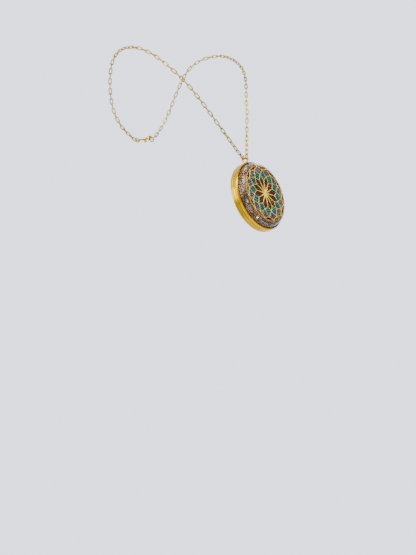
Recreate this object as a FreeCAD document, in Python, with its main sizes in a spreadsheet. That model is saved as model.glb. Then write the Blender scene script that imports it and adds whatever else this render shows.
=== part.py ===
import FreeCAD, Part
import Sketcher
import math
import os

# A round hinged locket on an elongated cable chain, hanging as it does round a neck.
# Frame: the origin is the middle of the neck, +Z up, the locket's face looks along -Y.
# Locket pieces are drawn lying down (x right, y towards the bail, z out of the face) and
# then stood up by LOCKET_PLACE.

DIMENSIONS = [
    ("case_radius", 22.5, "outer radius of the case"),
    ("front_radius", 21.95, "radius of the case at its front edge"),
    ("case_depth", 5.2, "depth of the metal band"),
    ("seam_low", 3.4, "top of the back shell's wall"),
    ("seam_high", 3.5, "bottom of the front bezel's wall"),
    ("case_wall", 1.2, "wall of the band"),
    ("back_floor", 0.8, "thickness of the back plate"),
    ("back_round", 0.45, "rounding of the back edge"),
    ("bead_low", 1.5, "lower edge of the turned line in the band"),
    ("bead_high", 1.8, "upper edge of the turned line"),
    ("bead_depth", 0.15, "depth of the turned line"),
    ("lip_radius", 21.2, "outer radius of the lip that plugs the back shell"),
    ("lip_inner", 20.4, "inner radius of that lip"),
    ("lip_low", 2.9, "bottom of the lip"),
    ("web_low", 4.35, "underside of the web that carries the inlay"),
    ("web_high", 4.95, "top of the web"),
    ("seat_radius", 21.05, "radius of the dome's seat"),
    ("slack", 0.05, "clearance between pieces that are laid in"),
    ("card_thick", 0.3, "photo card"),
    ("lens_thick", 0.5, "clear photo cover"),
    ("keeper_thick", 0.55, "spring ring that keeps the photo"),
    ("keeper_inner", 19.3, "inner radius of the keeper rings"),
    ("back_photo_radius", 21.2, "photo radius in the back"),
    ("front_photo_radius", 20.3, "photo radius in the cover"),
    ("dome_radius", 21.0, "radius of the clear dome"),
    ("dome_top", 9.9, "height of the dome's crown above the back"),
    ("dome_shoulder", 4.3, "rounding of the dome's shoulder"),
    ("pocket_radius", 19.8, "lower bore of the dome, round the chips"),
    ("pocket_top", 7.6, "top of that lower bore"),
    ("inlay_radius", 18.45, "upper bore of the dome, round the mandala"),
    ("inlay_top", 9.05, "top of the upper bore"),
    ("core_radius", 17.2, "radius of the dark resin core"),
    ("core_cap_low", 7.65, "underside of the core's cap"),
    ("core_cap_radius", 18.4, "radius of the core's cap"),
    ("core_top", 8.5, "top of the core"),
    ("mandala_low", 8.52, "underside of the filigree"),
    ("mandala_thick", 0.45, "thickness of the filigree"),
    ("mandala_radius", 18.3, "outer radius of the filigree"),
    ("border_radius", 17.85, "inside of the filigree's border"),
    ("star_radius", 2.2, "solid star in the middle"),
    ("petal_side", 8.8, "radius of the corners beside each petal"),
    ("petal_tip", 12.0, "radius of the petals' tips"),
    ("kite_tip", 15.9, "radius of the second ring's tips"),
    ("outer_tip", 17.6, "radius of the third ring's tips"),
    ("filigree_wire", 0.44, "width of a filigree wire"),
    ("inlay_slack", 0.04, "gap round each inlay"),
    ("inlay_thick", 0.36, "thickness of an inlay"),
    ("chip_ring", 18.5, "radius of the ring of chips round the core"),
    ("chip_floor", 5.05, "height that the chips lie at"),
    ("chip_lift", 0.35, "how much higher every second one lies"),
    ("curl_radius", 0.85, "copper curl, to the middle of its wire"),
    ("curl_wire", 0.2, "copper curl's wire radius"),
    ("curl_angle", 290.0, "degrees that a curl goes round"),
    ("leaf_thick", 0.08, "thickness of a gold flake"),
    ("leaf_lean", 60.0, "degrees that a flake stands up"),
    ("nib_tall", 0.45, "height of the catch's nib"),
    ("nib_angle", 10.0, "degrees of the rim that the nib takes"),
    ("spring_thick", 0.25, "thickness of the catch's spring strip"),
    ("spring_angle", 18.0, "degrees of the rim that the strip takes"),
    ("spring_below", 0.2, "how far the strip runs below the nib"),
    ("hinge_offset", 23.75, "hinge axis from the middle of the case"),
    ("knuckle_radius", 1.0, "outer radius of the hinge tube"),
    ("pin_radius", 0.45, "hinge pin"),
    ("pin_head_radius", 0.7, "heads of the hinge pin"),
    ("pin_head_thick", 0.25, "thickness of the pin's heads"),
    ("bore_radius", 0.5, "bore of the hinge tube"),
    ("knuckle_outer", 4.6, "half length of the whole hinge"),
    ("knuckle_inner", 1.7, "half length of the cover's knuckle"),
    ("knuckle_gap", 0.1, "gap between knuckles"),
    ("bail_centre", 25.05, "bail ring's middle from the middle of the case"),
    ("bail_depth", 2.3, "bail ring's middle above the back"),
    ("bail_radius", 2.1, "bail ring, to the middle of its wire"),
    ("bail_wire", 0.5, "bail ring's wire radius"),
    ("apex_height", 25.5, "middle of the link in the bail"),
    ("link_pitch", 3.4, "chain pitch"),
    ("link_wire", 0.33, "radius of the chain's wire"),
    ("link_half", 2.08, "half length of a link, to the middle of its wire"),
    ("link_side", 0.82, "half width of a link, to the middle of its wire"),
    ("locket_drop", 106.0, "middle of the case below the origin"),
    ("locket_forward", 22.0, "back of the case in front of the origin"),
    ("eye_radius", 1.1, "clasp's eye, to the middle of its wire"),
    ("jump_radius", 1.65, "jump ring, to the middle of its wire"),
    ("tail_radius", 2.3, "tail ring, to the middle of its wire"),
    ("ring_play", 0.02, "room between the tail ring and the hook"),
    ("hook_outer", 2.85, "outer radius of the clasp's hook"),
    ("hook_inner", 1.75, "inner radius of the clasp's hook"),
    ("hook_thick", 1.3, "thickness of the clasp"),
    ("slot_thick", 0.8, "slot for the clasp's lever"),
    ("lever_thick", 0.5, "thickness of the lever"),
    ("lever_inset", 0.08, "how far the lever stays inside the hook's outline"),
    ("lever_play", 0.04, "clearance cut round the lever's path"),
    ("tab_reach", 1.08, "how far the thumb tab stands out of the lever"),
    ("rivet_radius", 0.25, "rivet that the lever turns on"),
    ("rivet_slack", 0.05, "clearance round the rivet"),
    ("rivet_proud", 0.05, "how far the rivet stands out on each side"),
    ("coil_radius", 0.42, "clasp spring's coil, to the middle of its wire"),
    ("coil_wire", 0.06, "clasp spring's wire radius"),
]

doc = FreeCAD.newDocument("locket")
sheet = doc.addObject("Spreadsheet::Sheet", "dims")
for row, (alias, value, note) in enumerate(DIMENSIONS, 1):
    sheet.set(f"A{row}", note)
    sheet.set(f"B{row}", str(value))
    sheet.setAlias(f"B{row}", alias)
doc.recompute()

PETALS = 12
STEP_ANGLE = 360.0 / PETALS
NO_LENGTH = 1e-9
CLOSE = 1e-3
nodes = []


def size(alias):
    """The number in the sheet under this alias."""
    return float(sheet.get(alias))


def total(terms):
    """Value and expression of a sum of aliases; '-name' is taken away."""
    value = 0.0
    text = "0 mm"
    for term in terms:
        alias = term.lstrip("-")
        minus = term.startswith("-")
        value += -size(alias) if minus else size(alias)
        text += (" - " if minus else " + ") + f"dims.{alias} * 1 mm"
    return value, text


LOCKET_PLACE = FreeCAD.Placement(
    FreeCAD.Vector(0, -size("locket_forward"), -size("locket_drop")),
    FreeCAD.Rotation(FreeCAD.Vector(1, 0, 0), 90),
)


def keep(piece, label, place=None):
    """Name a finished sub-part, stand it in its place and mark it to be written."""
    piece.Label = label
    if place is not None:
        piece.Placement = place
    nodes.append(piece)
    return piece


def solid(label, shape, place=None):
    """A sub-part whose shape is worked out with Part's own functions."""
    piece = doc.addObject("Part::Feature", label)
    own = shape.Placement
    piece.Shape = shape
    return keep(piece, label, place.multiply(own) if place else own)


# ---------------------------------------------------------------- turned pieces

def turned(label, corners, rounds=()):
    """A Body turned about its own z axis from an outline of (radius, height) corners."""
    body = doc.addObject("PartDesign::Body", label)
    sketch = body.newObject("Sketcher::SketchObject", label + "_outline")
    plane = [o for o in body.Origin.OriginFeatures if o.Role == "XZ_Plane"][0]
    sketch.AttachmentSupport = [(plane, "")]
    sketch.MapMode = "FlatFace"
    points = [(total(r), total(h)) for r, h in corners]
    flat = [FreeCAD.Vector(r[0], h[0], 0) for r, h in points]
    for here, there in zip(flat, flat[1:] + flat[:1]):
        sketch.addGeometry(Part.LineSegment(here, there), False)
    count = len(flat)
    for index in range(count):
        sketch.addConstraint(Sketcher.Constraint("Coincident", index, 2, (index + 1) % count, 1))
    for index, (radius, height) in enumerate(points):
        for kind, (value, text) in (("DistanceX", radius), ("DistanceY", height)):
            if abs(value) < NO_LENGTH:
                axis = -2 if kind == "DistanceX" else -1
                sketch.addConstraint(Sketcher.Constraint("PointOnObject", index, 1, axis))
                continue
            number = sketch.addConstraint(Sketcher.Constraint(kind, -1, 1, index, 1, value))
            sketch.setExpression(f"Constraints[{number}]", text)
    turn = body.newObject("PartDesign::Revolution", label + "_turn")
    turn.Profile = sketch
    turn.ReferenceAxis = (sketch, ["V_Axis"])
    turn.Angle = 360
    doc.recompute()
    for radius, height, rounding in rounds:
        round_edge(body, turn, total(radius)[0], total(height)[0], rounding)
    return keep(body, label, LOCKET_PLACE)


def round_edge(body, base, radius, height, rounding):
    """Fillet the circular edge at this radius and height."""
    for number, edge in enumerate(base.Shape.Edges, 1):
        curve = edge.Curve
        if not isinstance(curve, Part.Circle):
            continue
        if abs(curve.Radius - radius) < CLOSE and abs(curve.Center.z - height) < CLOSE:
            fillet = body.newObject("PartDesign::Fillet", body.Name + "_round")
            fillet.Base = (base, [f"Edge{number}"])
            fillet.setExpression("Radius", f"dims.{rounding} * 1 mm")
            doc.recompute()
            return


def disc(label, low, high, outer, inner=None):
    """A turned disc or ring between two heights."""
    centre = inner if inner else ()
    corners = [(centre, low), (outer, low), (outer, high), (centre, high)]
    return turned(label, corners)


def build_back():
    turned("back_shell", [
        ((), ()),
        (("case_radius",), ()),
        (("case_radius",), ("bead_low",)),
        (("case_radius", "-bead_depth"), ("bead_low", "bead_depth")),
        (("case_radius",), ("bead_high",)),
        (("case_radius",), ("seam_low",)),
        (("case_radius", "-case_wall"), ("seam_low",)),
        (("case_radius", "-case_wall"), ("back_floor",)),
        ((), ("back_floor",)),
    ], rounds=[(("case_radius",), (), "back_round")])
    outer = ("back_photo_radius",)
    card = ("back_floor", "card_thick")
    lens = card + ("lens_thick",)
    disc("photo_card_back", ("back_floor",), card, outer)
    disc("photo_lens_back", card, lens, outer)
    disc("photo_ring_back", lens, lens + ("keeper_thick",), outer, ("keeper_inner",))


def build_cover():
    turned("front_bezel", [
        (("lip_inner",), ("lip_low",)),
        (("lip_radius",), ("lip_low",)),
        (("lip_radius",), ("seam_high",)),
        (("case_radius",), ("seam_high",)),
        (("case_radius",), ("web_low",)),
        (("front_radius",), ("case_depth",)),
        (("seat_radius",), ("case_depth",)),
        (("seat_radius",), ("web_high",)),
        ((), ("web_high",)),
        ((), ("web_low",)),
        (("lip_inner",), ("web_low",)),
    ])
    outer = ("front_photo_radius",)
    card = ("web_low", "-card_thick")
    lens = card + ("-lens_thick",)
    disc("photo_card_front", card, ("web_low",), outer)
    disc("photo_lens_front", lens, card, outer)
    disc("photo_ring_front", lens + ("-keeper_thick",), lens, outer, ("keeper_inner",))


def build_resin():
    turned("resin_dome", [
        (("pocket_radius",), ("web_high",)),
        (("dome_radius",), ("web_high",)),
        (("dome_radius",), ("dome_top",)),
        ((), ("dome_top",)),
        ((), ("inlay_top",)),
        (("inlay_radius",), ("inlay_top",)),
        (("inlay_radius",), ("pocket_top",)),
        (("pocket_radius",), ("pocket_top",)),
    ], rounds=[(("dome_radius",), ("dome_top",), "dome_shoulder")])
    turned("resin_core", [
        ((), ("web_high",)),
        (("core_radius",), ("web_high",)),
        (("core_radius",), ("core_cap_low",)),
        (("core_cap_radius",), ("core_cap_low",)),
        (("core_cap_radius",), ("core_top",)),
        ((), ("core_top",)),
    ])


# ---------------------------------------------------------------- mandala

def polar(radius, steps):
    """A point at a radius, turned by half petals from the first petal's middle."""
    angle = math.radians(steps * STEP_ANGLE / 2)
    return FreeCAD.Vector(radius * math.cos(angle), radius * math.sin(angle), 0)


def mandala_cells():
    """The cells of one twelfth of the mandala, from the middle outwards."""
    star = size("star_radius")
    side = size("petal_side")
    tip = size("petal_tip")
    kite = size("kite_tip")
    outer = size("outer_tip")
    border = size("border_radius")
    return {
        "petal_inlays": [polar(star, 0), polar(side, 1), polar(tip, 0), polar(side, -1)],
        "turquoise_inlays": [polar(side, 1), polar(tip, 2), polar(kite, 1), polar(tip, 0)],
        "amethyst_inlays": [polar(tip, 0), polar(kite, 1), polar(outer, 0), polar(kite, -1)],
        "copper_inlays": [polar(kite, 1), polar(outer, 2), polar(border, 1.5),
                          polar(border, 0.5), polar(outer, 0)],
    }


def cell_prism(corners, inset, low, thick):
    """A cell drawn in from its wires' middle lines, as a prism."""
    face = Part.Face(Part.makePolygon(corners + corners[:1]))
    face = face.makeOffset2D(-inset, 2)
    face.translate(FreeCAD.Vector(0, 0, low))
    return face.extrude(FreeCAD.Vector(0, 0, thick))


def all_round(shape):
    """Copies of a shape, one for each petal."""
    copies = []
    for index in range(PETALS):
        copy = shape.copy()
        copy.rotate(FreeCAD.Vector(), FreeCAD.Vector(0, 0, 1), index * STEP_ANGLE)
        copies.append(copy)
    return copies


def build_mandala():
    low = size("mandala_low")
    thick = size("mandala_thick")
    wire = size("filigree_wire") / 2
    slack = size("inlay_slack")
    plate = Part.makeCylinder(size("mandala_radius"), thick, FreeCAD.Vector(0, 0, low))
    holes = []
    for label, corners in mandala_cells().items():
        hole = cell_prism(corners, wire, low - thick, 3 * thick)
        holes.extend(all_round(hole))
        inlay = cell_prism(corners, wire + slack, low, size("inlay_thick"))
        solid(label, Part.makeCompound(all_round(inlay)), LOCKET_PLACE)
    solid("mandala_filigree", plate.cut(holes), LOCKET_PLACE)


# ---------------------------------------------------------------- chips in the dome's side

CHIP_PLACES = 36
# Length, width and height of the two chips that take turns round the core.
QUARTZ_SIZES = [(2.0, 2.6, 1.9), (1.7, 2.2, 1.5)]
AMETHYST_SIZES = [(1.8, 2.4, 1.6), (2.0, 2.0, 1.9)]
FLAKE_CORNERS = [(-0.7, -0.4), (0.5, -0.6), (0.8, 0.3), (-0.2, 0.7)]


def chip(length, width, tall):
    """A broken chip: a block with leaning faces and a smaller, lopsided top."""
    wedge = Part.makeWedge(-length / 2, 0, -width / 2, -width / 4, -length / 3,
                           length / 2, tall, width / 2, width / 3, length / 4)
    wedge.rotate(FreeCAD.Vector(), FreeCAD.Vector(1, 0, 0), 90)
    box = wedge.BoundBox
    wedge.translate(FreeCAD.Vector(-box.Center.x, -box.Center.y, -box.ZMin))
    return wedge


def curl():
    """A turning of copper: most of a small hoop, standing on edge."""
    hoop = Part.makeTorus(size("curl_radius"), size("curl_wire"), FreeCAD.Vector(),
                          FreeCAD.Vector(0, 1, 0), 0, 360, size("curl_angle"))
    hoop.translate(FreeCAD.Vector(0, 0, -hoop.BoundBox.ZMin))
    return hoop


def flake():
    """A scrap of gold leaf."""
    points = [FreeCAD.Vector(x, y, 0) for x, y in FLAKE_CORNERS]
    leaf = Part.Face(Part.makePolygon(points + points[:1]))
    leaf = leaf.extrude(FreeCAD.Vector(0, 0, size("leaf_thick")))
    leaf.rotate(FreeCAD.Vector(), FreeCAD.Vector(1, 0, 0), size("leaf_lean"))
    leaf.translate(FreeCAD.Vector(0, 0, -leaf.BoundBox.ZMin))
    return leaf


def round_the_core(label, shapes, offset):
    """Pieces of one kind, at every fourth place round the core."""
    placed = []
    for index in range(CHIP_PLACES // 4):
        place = 4 * index + offset
        piece = shapes[index % len(shapes)].copy()
        lift = size("chip_lift") * (index % 2)
        piece.translate(FreeCAD.Vector(size("chip_ring"), 0, size("chip_floor") + lift))
        piece.rotate(FreeCAD.Vector(), FreeCAD.Vector(0, 0, 1), place * 360.0 / CHIP_PLACES)
        placed.append(piece)
    solid(label, Part.makeCompound(placed), LOCKET_PLACE)


def build_chips():
    round_the_core("quartz_chips", [chip(*sizes) for sizes in QUARTZ_SIZES], 0)
    round_the_core("copper_curls", [curl()], 1)
    round_the_core("amethyst_chips", [chip(*sizes) for sizes in AMETHYST_SIZES], 2)
    round_the_core("gold_flakes", [flake()], 3)


# ---------------------------------------------------------------- hinge, catch and bail

def hinge_round(radius, low, high):
    """A round bar on the hinge's axis, between two places along it."""
    axis_z = (size("seam_low") + size("seam_high")) / 2
    start = FreeCAD.Vector(size("hinge_offset"), low, axis_z)
    return Part.makeCylinder(radius, high - low, start, FreeCAD.Vector(0, 1, 0))


def knuckle(low, high, leaf_low, leaf_high):
    """A hinge tube with the leaf that solders it to the case's wall."""
    radius = size("knuckle_radius")
    reach = size("case_wall") + radius
    corner = FreeCAD.Vector(size("hinge_offset") - reach, low, leaf_low)
    leaf = Part.makeBox(reach, high - low, leaf_high - leaf_low, corner)
    barrel = hinge_round(radius, low, high)
    bore = hinge_round(size("bore_radius"), low, high)
    case = Part.makeCylinder(size("case_radius"), size("dome_top"))
    return barrel.fuse(leaf).cut([case, bore]).removeSplitter()


def build_hinge():
    radius = size("knuckle_radius")
    low = size("seam_low") - radius + size("slack")
    high = size("seam_high") + radius - size("slack")
    inner = size("knuckle_inner")
    outer = size("knuckle_outer")
    gap = size("knuckle_gap")
    under = [knuckle(inner + gap, outer, low, size("seam_low")),
             knuckle(-outer, -inner - gap, low, size("seam_low"))]
    solid("hinge_knuckles_back", Part.makeCompound(under), LOCKET_PLACE)
    solid("hinge_knuckle_front", knuckle(-inner, inner, size("seam_high"), high), LOCKET_PLACE)
    head = size("pin_head_thick")
    pin = hinge_round(size("pin_radius"), -outer, outer)
    for end in (-outer - head, outer):
        pin = pin.fuse(hinge_round(size("pin_head_radius"), end, end + head))
    solid("hinge_pin", pin, LOCKET_PLACE)


def ring_sector(radii, heights, angles):
    """A piece of flat ring between two radii, two heights and two angles."""
    inner, outer = radii
    low, high = heights
    start, end = angles
    up = FreeCAD.Vector(0, 0, 1)
    base = FreeCAD.Vector(0, 0, low)
    piece = Part.makeCylinder(outer, high - low, base, up, end - start)
    piece = piece.cut(Part.makeCylinder(inner, high - low, base, up, 360))
    piece.rotate(FreeCAD.Vector(), up, start)
    return piece


CATCH_ANGLE = 180.0


def build_catch():
    """A nib under the cover's lip snaps past a flat spring on the back shell's wall."""
    lip_low = size("lip_low")
    wall = size("case_radius") - size("case_wall")
    nib_low = lip_low - size("nib_tall")
    slack = size("slack")
    spring_inner = wall - size("spring_thick")
    nib_half = size("nib_angle") / 2
    spring_half = size("spring_angle") / 2
    nib = ring_sector((size("lip_inner"), spring_inner - slack), (nib_low, lip_low),
                      (CATCH_ANGLE - nib_half, CATCH_ANGLE + nib_half))
    solid("catch_nib", nib, LOCKET_PLACE)
    spring = ring_sector((spring_inner, wall),
                         (nib_low - size("spring_below"), lip_low - slack),
                         (CATCH_ANGLE - spring_half, CATCH_ANGLE + spring_half))
    solid("catch_spring", spring, LOCKET_PLACE)


def build_bail():
    """The upright ring on the rim, its hole looking along the rim."""
    ring = doc.addObject("Part::Torus", "bail_hoop")
    ring.setExpression("Radius1", "dims.bail_radius * 1 mm")
    ring.setExpression("Radius2", "dims.bail_wire * 1 mm")
    ring.Placement.Rotation = FreeCAD.Rotation(FreeCAD.Vector(0, 1, 0), 90)
    ring.setExpression("Placement.Base.y", "dims.bail_centre * 1 mm")
    ring.setExpression("Placement.Base.z", "dims.bail_depth * 1 mm")
    rim = doc.addObject("Part::Cylinder", "bail_rim")
    rim.setExpression("Radius", "dims.case_radius * 1 mm")
    rim.setExpression("Height", "dims.case_depth * 1 mm")
    bail = doc.addObject("Part::Cut", "bail_ring_cut")
    bail.Base = ring
    bail.Tool = rim
    keep(bail, "bail_ring", LOCKET_PLACE)


# ---------------------------------------------------------------- chain

# The neck carries the chain, so its route is given from the origin, from the link in the
# bail up the chest, round the side of the neck and down to the clasp at the nape.
LEFT_ROUTE = [
    (-1.85, -24.3, -80.8), (-9.5, -24.4, -69.0), (-18.5, -24.5, -55.0), (-26.5, -24.5, -42.8),
    (-33.5, -23.5, -31.2), (-39.5, -20.0, -20.0), (-43.2, -13.0, -7.5), (-45.3, -4.0, 0.8),
    (-45.0, 5.0, 4.6), (-42.0, 14.5, 6.0), (-38.5, 25.0, 3.0), (-34.0, 36.0, -9.0),
    (-28.0, 44.0, -22.0), (-17.0, 48.5, -34.0), (-4.0, 50.3, -40.5),
]
RIGHT_ROUTE = [
    (1.85, -24.3, -80.8), (8.5, -24.4, -68.0), (16.0, -24.5, -54.0), (22.5, -24.5, -40.0),
    (29.0, -24.0, -28.0), (36.5, -20.5, -17.5), (42.0, -13.5, -7.5), (45.0, -4.0, 0.8),
    (45.0, 5.0, 4.6), (42.0, 14.5, 6.0), (38.5, 25.0, 3.0), (34.0, 36.0, -9.0),
    (28.0, 44.0, -22.0), (17.5, 48.5, -34.0), (7.0, 50.0, -40.0),
]
SEARCH_SPAN = 1.5
HALVINGS = 40
LEFT_LINKS = 56
RIGHT_LINKS = 55
FRONT_LINKS = 28
TWISTED_LINKS = 8
TWIST_PER_LINK = -6.0


def route_curve(points):
    """The smooth curve that these control points steer."""
    poles = [FreeCAD.Vector(*p) for p in points]
    inner = len(poles) - 3
    knots = [float(k) for k in range(inner + 2)]
    curve = Part.BSplineCurve()
    curve.buildFromPolesMultsKnots(poles, [3] + [1] * inner + [3], knots, False, 2)
    return curve


def pivots(curve, pitch):
    """Points along the curve one pitch apart in a straight line."""
    found = [curve.value(curve.FirstParameter)]
    place = curve.FirstParameter
    while True:
        low, high = place, min(place + SEARCH_SPAN, curve.LastParameter)
        if curve.value(high).distanceToPoint(found[-1]) < pitch:
            return found
        for _ in range(HALVINGS):
            middle = (low + high) / 2
            if curve.value(middle).distanceToPoint(found[-1]) < pitch:
                low = middle
            else:
                high = middle
        place = high
        found.append(curve.value(place))


def link_shape():
    """One elongated link along x, its plane the xy plane."""
    half = size("link_half") - size("link_side")
    side = size("link_side")
    wire = size("link_wire")
    along = FreeCAD.Vector(1, 0, 0)
    flat = FreeCAD.Vector(0, 0, 1)
    bars = [Part.makeCylinder(wire, 2 * half, FreeCAD.Vector(-half, y, 0), along)
            for y in (-side, side)]
    right = Part.makeTorus(side, wire, FreeCAD.Vector(), flat, 0, 360, 180)
    right.rotate(FreeCAD.Vector(), flat, -90)
    left = right.copy()
    left.rotate(FreeCAD.Vector(), flat, 180)
    right.translate(FreeCAD.Vector(half, 0, 0))
    left.translate(FreeCAD.Vector(-half, 0, 0))
    return bars[0].multiFuse([bars[1], right, left])


def laid_link(link, start, end, across):
    """A link from one pivot to the next, its width along a given direction."""
    along = (end - start).normalize()
    up = along.cross(across).normalize()
    side = up.cross(along)
    middle = (start + end) / 2
    copy = link.copy()
    turn = FreeCAD.Matrix(along.x, side.x, up.x, middle.x, along.y, side.y, up.y, middle.y,
                          along.z, side.z, up.z, middle.z, 0, 0, 0, 1)
    copy.Placement = FreeCAD.Placement(turn)
    return copy


def strand(side, points, count, link):
    """The links of one side, in a front and a back group.

    Each of the first links is turned a little further, as a hanging chain settles.
    Returns the last pivot, the direction there and the next link's width.
    """
    spots = pivots(route_curve(points), size("link_pitch"))[:count + 1]
    across = FreeCAD.Vector(0, 0, 1)
    links = []
    for index, (start, end) in enumerate(zip(spots, spots[1:])):
        if 0 < index <= TWISTED_LINKS:
            across = FreeCAD.Rotation(end - start, TWIST_PER_LINK).multVec(across)
        links.append(laid_link(link, start, end, across))
        across = (end - start).cross(across).normalize()
    solid(f"chain_{side}_front", Part.makeCompound(links[:FRONT_LINKS]))
    solid(f"chain_{side}_back", Part.makeCompound(links[FRONT_LINKS:]))
    print(side, "strand:", len(links), "links,", round(len(links) * size("link_pitch"), 1), "mm")
    return spots[-1], (spots[-1] - spots[-2]).normalize(), across


def build_chain():
    link = link_shape()
    apex = link.copy()
    apex.translate(FreeCAD.Vector(0, -size("locket_forward") - size("bail_depth"),
                                  size("apex_height") - size("locket_drop")))
    solid("apex_link", apex)
    left = strand("left", LEFT_ROUTE, LEFT_LINKS, link)
    return left, strand("right", RIGHT_ROUTE, RIGHT_LINKS, link)


# ---------------------------------------------------------------- clasp

# Angles in degrees round the hook, from the direction that it points in.
GATE_START = 27.0
GATE_GAP = 2.0
SLOT_START = 80.0
CHEEK_START = 85.0
TAB_START = 94.0
PIVOT_ANGLE = 100.0
TAB_END = 104.0
SLOT_END = 120.0
LEVER_TRAVEL = 12.5
RELIEF_STEPS = 12


def stood(middle, along, normal):
    """A placement whose x runs along a direction and whose z is close to a normal."""
    ahead = FreeCAD.Vector(along).normalize()
    side = FreeCAD.Vector(normal).cross(ahead).normalize()
    up = ahead.cross(side)
    return FreeCAD.Placement(FreeCAD.Matrix(
        ahead.x, side.x, up.x, middle.x, ahead.y, side.y, up.y, middle.y,
        ahead.z, side.z, up.z, middle.z, 0, 0, 0, 1))


def flat_sector(inner, outer, thick, start, end):
    """A piece of flat ring with its thickness centred on the clasp's plane."""
    return ring_sector((inner, outer), (-thick / 2, thick / 2), (start, end))


def hook_body(eye_middle, eye_normal):
    """The clasp's hook, shank and eye. The eye's middle and normal are in the hook's frame."""
    outer = size("hook_outer")
    inner = size("hook_inner")
    thick = size("hook_thick")
    wire = size("link_wire")
    hook = flat_sector(inner, outer, thick, CHEEK_START, 360 + GATE_START - GATE_GAP)
    eye = Part.makeTorus(size("eye_radius"), wire, eye_middle, eye_normal)
    start = eye_middle.x + size("eye_radius")
    shank = Part.makeCone(wire, thick / 2, -(inner + outer) / 2 - start,
                          FreeCAD.Vector(start, 0, 0), FreeCAD.Vector(1, 0, 0))
    slot = flat_sector(inner - thick, outer + thick, size("slot_thick"), SLOT_START, SLOT_END)
    relief = []
    for step in range(1, RELIEF_STEPS + 1):
        lever = lever_blank(size("lever_play"))
        lever.rotate(pivot_point(), FreeCAD.Vector(0, 0, 1), -step * LEVER_TRAVEL / RELIEF_STEPS)
        relief.append(lever)
    return hook.multiFuse([shank, eye]).cut([slot, rivet_shape(0)] + relief)


def pivot_point():
    radius = (size("hook_outer") + size("hook_inner")) / 2
    angle = math.radians(PIVOT_ANGLE)
    return FreeCAD.Vector(radius * math.cos(angle), radius * math.sin(angle), 0)


def rivet_shape(extra):
    """The rivet, larger by a clearance where it is used to cut a hole."""
    tall = size("hook_thick") + 2 * size("rivet_proud")
    base = pivot_point() - FreeCAD.Vector(0, 0, tall / 2)
    return Part.makeCylinder(size("rivet_radius") + extra, tall, base)


def lever_blank(grow):
    """The gate, its pivot end and its thumb tab, larger by a clearance to cut with."""
    outer = size("hook_outer") - size("lever_inset") + grow
    inner = size("hook_inner") + size("lever_inset") - grow
    thick = size("lever_thick") + 2 * grow
    gate = flat_sector(inner, outer, thick, GATE_START, PIVOT_ANGLE)
    base = pivot_point() - FreeCAD.Vector(0, 0, thick / 2)
    end = Part.makeCylinder((outer - inner) / 2, thick, base)
    middle = (inner + outer) / 2
    tab = flat_sector(middle, outer + size("tab_reach"), thick, TAB_START, TAB_END)
    return gate.multiFuse([end, tab])


def lever_shape():
    """The lever that closes the hook, bored for its rivet."""
    return lever_blank(0).cut(rivet_shape(size("rivet_slack"))).removeSplitter()


def square_to(direction, along):
    """The part of a direction that is square to another, one unit long."""
    return (direction - along * direction.dot(along)).normalize()


def build_clasp(left, right):
    """A hooked clasp on the left strand, closed on a ring on the right strand."""
    left_end, left_ahead, left_across = left
    right_end, right_ahead, right_across = right
    overlap = size("link_half") - size("link_pitch") / 2 + size("slack")
    jump = size("jump_radius")
    tail = size("tail_radius")
    wire = size("link_wire")
    left_anchor = left_end - left_ahead * overlap
    right_anchor = right_end - right_ahead * overlap
    along = (right_anchor - left_anchor).normalize()
    jump_middle = left_anchor + along * jump
    tail_middle = right_anchor - along * tail
    jump_normal = square_to(left_ahead.cross(left_across), along)
    tail_normal = square_to(right_ahead.cross(right_across), along)
    for label, radius, middle, normal in (("clasp_jump_ring", jump, jump_middle, jump_normal),
                                          ("tail_ring", tail, tail_middle, tail_normal)):
        solid(label, Part.makeTorus(radius, wire, middle, normal))
    hook_middle = tail_middle - along * (2 * size("hook_inner") + size("ring_play"))
    hook_normal = tail_normal.cross(along)
    place = stood(hook_middle, along, hook_normal)
    eye_reach = jump - 2 * wire - size("slack") + size("eye_radius")
    eye_middle = jump_middle + along * eye_reach
    turn_back = place.inverse()
    eye_local = turn_back.multVec(eye_middle)
    eye_normal = turn_back.Rotation.multVec(jump_normal.cross(along))
    solid("clasp_body", hook_body(eye_local, eye_normal), place)
    solid("clasp_lever", lever_shape(), place)
    solid("clasp_rivet", rivet_shape(0), place)
    above = FreeCAD.Vector(0, 0, (size("lever_thick") + size("slot_thick")) / 4)
    coil = Part.makeTorus(size("coil_radius"), size("coil_wire"), pivot_point() + above)
    solid("clasp_spring", coil, place)
    print("lever pivot", place.multVec(pivot_point()))
    print("lever axis", place.Rotation.multVec(FreeCAD.Vector(0, 0, -1)))


def check_and_write():
    """Stop on any failed object, then write one STEP file per sub-part."""
    doc.recompute()
    for item in doc.Objects:
        if "Invalid" in item.State or "Error" in item.State:
            raise RuntimeError(f"{item.Label} failed: {item.State}")
    os.makedirs("parts", exist_ok=True)
    for piece in nodes:
        shape = piece.Shape
        if shape.isNull() or not shape.isValid() or not shape.Solids:
            raise RuntimeError(f"{piece.Label} has no valid solid")
        shape.exportStep(f"parts/{piece.Label}.step")
        print(piece.Label, len(shape.Solids), "solids", round(shape.Volume, 3), "mm3")


build_back()
build_cover()
build_resin()
build_mandala()
build_chips()
build_hinge()
build_catch()
build_bail()
strands = build_chain()
build_clasp(*strands)
check_and_write()
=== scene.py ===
import math
import random

import bmesh
import bpy
from mathutils import Matrix, Vector


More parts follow.
